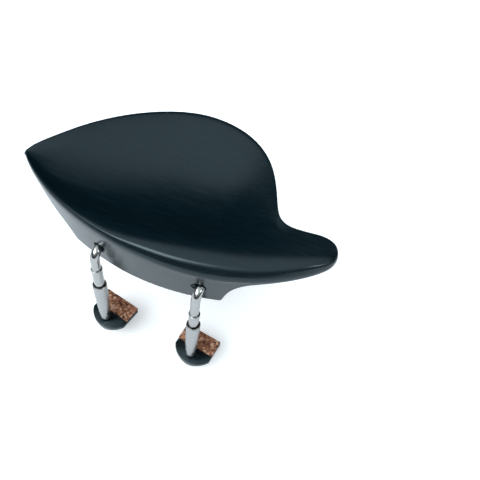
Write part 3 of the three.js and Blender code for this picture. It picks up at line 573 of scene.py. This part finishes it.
def ramp(nt, fac, stops, interp="LINEAR"):
    r = nt.nodes.new("ShaderNodeValToRGB")
    r.color_ramp.interpolation = interp
    els = r.color_ramp.elements
    while len(els) > 1:
        els.remove(els[0])
    els[0].position, els[0].color = stops[0][0], (*stops[0][1], 1)
    for p, c in stops[1:]:
        e = els.new(p); e.color = (*c, 1)
    nt.links.new(fac, r.inputs["Fac"])
    return r.outputs["Color"]


def mapr(nt, fac, a, b, lo=0.0, hi=1.0):
    n = nt.nodes.new("ShaderNodeMapRange")
    n.inputs["From Min"].default_value, n.inputs["From Max"].default_value = lo, hi
    n.inputs["To Min"].default_value, n.inputs["To Max"].default_value = a, b
    nt.links.new(fac, n.inputs["Value"])
    return n.outputs["Result"]


def bump(nt, height, strength, distance, into=None):
    n = nt.nodes.new("ShaderNodeBump")
    n.inputs["Strength"].default_value, n.inputs["Distance"].default_value = strength, distance
    nt.links.new(height, n.inputs["Height"])
    if into is not None:
        nt.links.new(into, n.inputs["Normal"])
    return n.outputs["Normal"]


def noise_tex(nt, vec, scale, detail=4, rough=0.5, dist=0.0):
    n = nt.nodes.new("ShaderNodeTexNoise")
    n.inputs["Scale"].default_value, n.inputs["Detail"].default_value = scale, detail
    n.inputs["Roughness"].default_value, n.inputs["Distortion"].default_value = rough, dist
    nt.links.new(vec, n.inputs["Vector"])
    return n.outputs["Fac"]


def black_wood():
    m, nt, b = material("black_polished_wood")
    grain = noise_tex(nt, coords(nt, (0.10, 1, 1), (0, 0, 0.03)), 900, 6, 0.6, 0.4)
    pores = noise_tex(nt, coords(nt, (0.055, 1, 1), (0, 0, -0.02)), 2600, 3, 0.55, 0.0)
    cloud = noise_tex(nt, coords(nt), 38, 4, 0.5, 0.2)
    nt.links.new(ramp(nt, grain, [(0.25, (0.0008, 0.0040, 0.0062)), (0.55, (0.0014, 0.0058, 0.0086)), (0.8, (0.0036, 0.0086, 0.0112))]), b.inputs["Base Color"])
    add = nt.nodes.new("ShaderNodeMath"); add.operation = "ADD"
    nt.links.new(mapr(nt, cloud, -0.02, 0.03, 0.3, 0.7), add.inputs[0]); nt.links.new(mapr(nt, grain, 0.22, 0.27, 0.3, 0.7), add.inputs[1])
    nt.links.new(add.outputs[0], b.inputs["Roughness"])
    n1 = bump(nt, mapr(nt, pores, 0, 1, 0.30, 0.42), 0.16, 0.00002)
    n2 = bump(nt, grain, 0.045, 0.00003, n1)
    nt.links.new(n2, b.inputs["Normal"])
    b.inputs["IOR"].default_value = 1.5
    b.inputs["Specular IOR Level"].default_value = 0.42
    b.inputs["Specular Tint"].default_value = (0.72, 0.93, 1.0, 1)
    b.inputs["Coat Weight"].default_value = 0.10
    b.inputs["Coat Roughness"].default_value = 0.12
    return m


def cork_mat():
    m, nt, b = material("agglomerated_cork")
    vec = coords(nt)
    warp = nt.nodes.new("ShaderNodeTexNoise"); warp.inputs["Scale"].default_value = 900; warp.inputs["Detail"].default_value = 2
    nt.links.new(vec, warp.inputs["Vector"])
    mix = nt.nodes.new("ShaderNodeMix"); mix.data_type = "RGBA"; mix.blend_type = "LINEAR_LIGHT"; mix.inputs["Factor"].default_value = 0.00035
    nt.links.new(vec, mix.inputs["A"]); nt.links.new(warp.outputs["Color"], mix.inputs["B"])
    v = nt.nodes.new("ShaderNodeTexVoronoi"); v.feature = "F1"; v.inputs["Scale"].default_value = 1150; v.inputs["Randomness"].default_value = 1
    nt.links.new(mix.outputs["Result"], v.inputs["Vector"])
    sep = nt.nodes.new("ShaderNodeSeparateColor"); nt.links.new(v.outputs["Color"], sep.inputs["Color"])
    col = ramp(nt, sep.outputs["Red"], [(0.0, (0.06, 0.024, 0.014)), (0.10, (0.15, 0.062, 0.034)), (0.28, (0.25, 0.112, 0.066)), (0.50, (0.34, 0.155, 0.088)), (0.72, (0.45, 0.235, 0.145)), (0.86, (0.58, 0.38, 0.26)), (1.0, (0.78, 0.62, 0.48))], "CONSTANT")
    fine = noise_tex(nt, vec, 3800, 4, 0.65)
    mul = nt.nodes.new("ShaderNodeMix"); mul.data_type = "RGBA"; mul.blend_type = "MULTIPLY"; mul.inputs["Factor"].default_value = 0.55
    nt.links.new(col, mul.inputs["A"]); nt.links.new(ramp(nt, fine, [(0.3, (0.45, 0.40, 0.36)), (0.6, (1, 1, 1))]), mul.inputs["B"])
    e = nt.nodes.new("ShaderNodeTexVoronoi"); e.feature = "DISTANCE_TO_EDGE"; e.inputs["Scale"].default_value = 1150
    nt.links.new(mix.outputs["Result"], e.inputs["Vector"])
    seam = ramp(nt, e.outputs["Distance"], [(0.0, (0.42, 0.30, 0.22)), (0.06, (1, 1, 1))])
    mul2 = nt.nodes.new("ShaderNodeMix"); mul2.data_type = "RGBA"; mul2.blend_type = "MULTIPLY"; mul2.inputs["Factor"].default_value = 0.8
    nt.links.new(mul.outputs["Result"], mul2.inputs["A"]); nt.links.new(seam, mul2.inputs["B"])
    nt.links.new(mul2.outputs["Result"], b.inputs["Base Color"])
    nt.links.new(mapr(nt, fine, 0.75, 0.95), b.inputs["Roughness"])
    n1 = bump(nt, mapr(nt, e.outputs["Distance"], 0, 1, 0, 0.12), 0.5, 0.00008)
    n2 = bump(nt, fine, 0.4, 0.00006, n1)
    nt.links.new(n2, b.inputs["Normal"])
    b.inputs["Specular IOR Level"].default_value = 0.3
    return m


def metal(name, color, r0, r1, ring=0.0, scratch=0.02, tone=0.06):
    m, nt, b = material(name)
    vec = coords(nt)
    cloud = noise_tex(nt, vec, 420, 4, 0.55)
    c2 = tuple(max(0, c * (1 - tone)) for c in color)
    nt.links.new(ramp(nt, cloud, [(0.3, c2), (0.7, color)]), b.inputs["Base Color"])
    nt.links.new(mapr(nt, cloud, r0, r1, 0.3, 0.7), b.inputs["Roughness"])
    # turning or polishing marks run round the piece, so they change along Z
    lines = noise_tex(nt, coords(nt, (0.02, 0.02, 1)), 9000, 2, 0.5)
    n1 = bump(nt, lines, ring, 0.000012)
    n2 = bump(nt, noise_tex(nt, vec, 3000, 3, 0.5), scratch, 0.00001, n1)
    nt.links.new(n2, b.inputs["Normal"])
    b.inputs["Metallic"].default_value = 1.0
    return m


MATS = {
    "black_wood": black_wood(),
    "cork": cork_mat(),
    "polished_steel": metal("polished_nickel", (0.41, 0.41, 0.405), 0.09, 0.16, 0.05),
    "barrel_steel": metal("satin_nickel", (0.40, 0.40, 0.40), 0.20, 0.30, 0.16),
    "brass": metal("turned_brass", (0.72, 0.55, 0.27), 0.16, 0.26, 0.25, 0.03, 0.15),
}


def finish_piece(o, body, node_name, slot):
    o.data.materials.clear()
    o.data.materials.append(MATS[slot])
    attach(o, body)
    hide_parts(node_name)


finish_piece(plate_object(), "root", "chin_plate", "black_wood")
finish_piece(riser_cork_object(), "root", "riser_cork", "cork")
for leg in LEGS:
    s = leg["side"]
    finish_piece(hook_object(leg), "root", s + "_hook", "polished_steel")
    finish_piece(sleeve_object(leg), "root", s + "_sleeve", "polished_steel")
    finish_piece(barrel_object(leg), s + "_barrel", s + "_barrel", "barrel_steel")
    finish_piece(stud_object(leg), s + "_stud", s + "_swivel_stud", "brass")
    finish_piece(washer_object(leg), s + "_stud", s + "_stud_washer", "polished_steel")
    finish_piece(nut_object(leg), s + "_stud", s + "_stud_nut", "brass")
    finish_piece(foot_object(leg), s + "_foot", s + "_foot", "black_wood")
    finish_piece(foot_cork_object(leg), s + "_foot", s + "_foot_cork", "cork")

# ------------------------------------------------------------------ camera
cam = bpy.data.cameras.new("camera")
cam_o = bpy.data.objects.new("camera", cam)
bpy.context.scene.collection.objects.link(cam_o)
cam.sensor_width = 36.0
cam.lens = 498.592 / 480 * 36
cam.clip_start, cam.clip_end = 0.01, 50
az, el, roll = math.radians(11.68), math.radians(52.89), math.radians(11.473)
back = Vector((math.sin(az) * math.cos(el), -math.cos(az) * math.cos(el), math.sin(el)))
right = (-back).cross(Vector((0, 0, 1))).normalized()
up = right.cross(-back)
r2 = right * math.cos(roll) + up * math.sin(roll)
u2 = -right * math.sin(roll) + up * math.cos(roll)
rot = Matrix((r2, u2, back)).transposed().to_4x4()
cam_o.matrix_world = Matrix.Translation(Vector((0.04520993, -0.08695966, 0.14986896))) @ rot
bpy.context.scene.camera = cam_o

# ------------------------------------------------------------------ stage and light
lo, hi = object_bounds()
FLOOR_Z = lo.z - 0.0052   # undoing a clamp lowers its foot by up to 5 mm, and the floor stays below that


def floor():
    me = bpy.data.meshes.new("floor")
    n, R = 96, 1.1
    me.from_pydata([(R * math.cos(2 * math.pi * k / n), 0.02 + R * math.sin(2 * math.pi * k / n), FLOOR_Z) for k in range(n)], [], [tuple(range(n))])
    o = bpy.data.objects.new("floor", me)
    bpy.context.scene.collection.objects.link(o)
    m, nt, b = material("pale_floor")
    b.inputs["Base Color"].default_value = (0.82, 0.86, 0.90, 1)
    b.inputs["Roughness"].default_value = 0.9
    b.inputs["Specular IOR Level"].default_value = 0.2
    # the camera sees the floor as lit paper, a little brighter than the light it gives back to the object
    glow, both, lp = nt.nodes.new("ShaderNodeEmission"), nt.nodes.new("ShaderNodeAddShader"), nt.nodes.new("ShaderNodeLightPath")
    nt.links.new(mapr(nt, lp.outputs["Is Camera Ray"], 0.0, 0.34), glow.inputs["Strength"])
    nt.links.new(b.outputs["BSDF"], both.inputs[0]); nt.links.new(glow.outputs["Emission"], both.inputs[1])
    nt.links.new(both.outputs["Shader"], next(n for n in nt.nodes if n.type == "OUTPUT_MATERIAL").inputs["Surface"])
    me.materials.append(m)
    o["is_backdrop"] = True


floor()


def area(name, loc, target, size, energy, color=(1, 1, 1), size_y=None):
    l = bpy.data.lights.new(name, "AREA")
    l.energy, l.color, l.size = energy, color, size
    if size_y:
        l.shape = "RECTANGLE"; l.size_y = size_y
    o = bpy.data.objects.new(name, l)
    bpy.context.scene.collection.objects.link(o)
    o.location = loc
    o.rotation_mode = "QUATERNION"
    o.rotation_quaternion = (Vector(target) - Vector(loc)).to_track_quat("-Z", "Y")
    return o


key = area("key", (-0.30, -0.64, 0.88), (0, 0.01, 0), 0.84, 9.6, (0.95, 0.985, 1.0), 0.60)
top = area("top", (-0.28, 0.20, 1.22), (-0.05, 0.02, 0), 1.15, 7.8, (0.95, 0.985, 1.0))
top.visible_glossy = False
area("side", (0.95, -0.10, 0.52), (0.03, 0.0, 0.0), 0.22, 1.5, (0.95, 0.985, 1.0))
area("left", (-0.80, -0.28, 0.90), (-0.03, 0.01, 0.0), 0.30, 0.9, (0.95, 0.985, 1.0))

# the studio round the object: pale behind it for the camera, and for reflections a dark back wall under a soft bright ceiling
w = bpy.data.worlds.new("studio")
bpy.context.scene.world = w
w.use_nodes = True
nt = w.node_tree
nt.nodes.clear()
out = nt.nodes.new("ShaderNodeOutputWorld")
bgc, bgr = nt.nodes.new("ShaderNodeBackground"), nt.nodes.new("ShaderNodeBackground")
mixs, lp = nt.nodes.new("ShaderNodeMixShader"), nt.nodes.new("ShaderNodeLightPath")
bgc.inputs["Color"].default_value = (0.93, 0.935, 0.94, 1); bgc.inputs["Strength"].default_value = 1.0
tc, sep = nt.nodes.new("ShaderNodeTexCoord"), nt.nodes.new("ShaderNodeSeparateXYZ")
nt.links.new(tc.outputs["Generated"], sep.inputs["Vector"])
dot = nt.nodes.new("ShaderNodeVectorMath"); dot.operation = "DOT_PRODUCT"
nt.links.new(tc.outputs["Generated"], dot.inputs[0])
dot.inputs[1].default_value = Vector((0.16, -0.97, 0.17)).normalized()
grey = lambda v: (v * 0.90, v * 0.985, v * 1.02)
side = ramp(nt, mapr(nt, dot.outputs["Value"], 0, 1, -1, 1), [(0.0, grey(0.020)), (0.20, grey(0.022)), (0.25, grey(0.035)), (0.30, grey(0.10)), (0.35, grey(0.28)), (0.40, grey(0.68)), (0.45, grey(0.86)), (0.55, grey(0.92))])
lift = ramp(nt, mapr(nt, sep.outputs["Z"], 0, 1, -1, 1), [(0.40, (0.16,) * 3), (0.5, (0.04,) * 3), (0.56, (0.08,) * 3), (0.72, (0.34,) * 3), (0.80, (0.66,) * 3), (0.86, (0.90,) * 3), (0.92, (1.00,) * 3), (0.955, (1.05,) * 3), (1.0, (1.06,) * 3)])
mulw = nt.nodes.new("ShaderNodeMix"); mulw.data_type = "RGBA"; mulw.blend_type = "MULTIPLY"; mulw.inputs["Factor"].default_value = 1.0
nt.links.new(side, mulw.inputs["A"]); nt.links.new(lift, mulw.inputs["B"])
nt.links.new(mulw.outputs["Result"], bgr.inputs["Color"])
bgr.inputs["Strength"].default_value = 1.15
nt.links.new(lp.outputs["Is Camera Ray"], mixs.inputs["Fac"])
nt.links.new(bgr.outputs["Background"], mixs.inputs[1])
nt.links.new(bgc.outputs["Background"], mixs.inputs[2])
nt.links.new(mixs.outputs["Shader"], out.inputs["Surface"])
bpy.context.scene.view_settings.view_transform = "Standard"
bpy.context.scene.view_settings.look = "None"
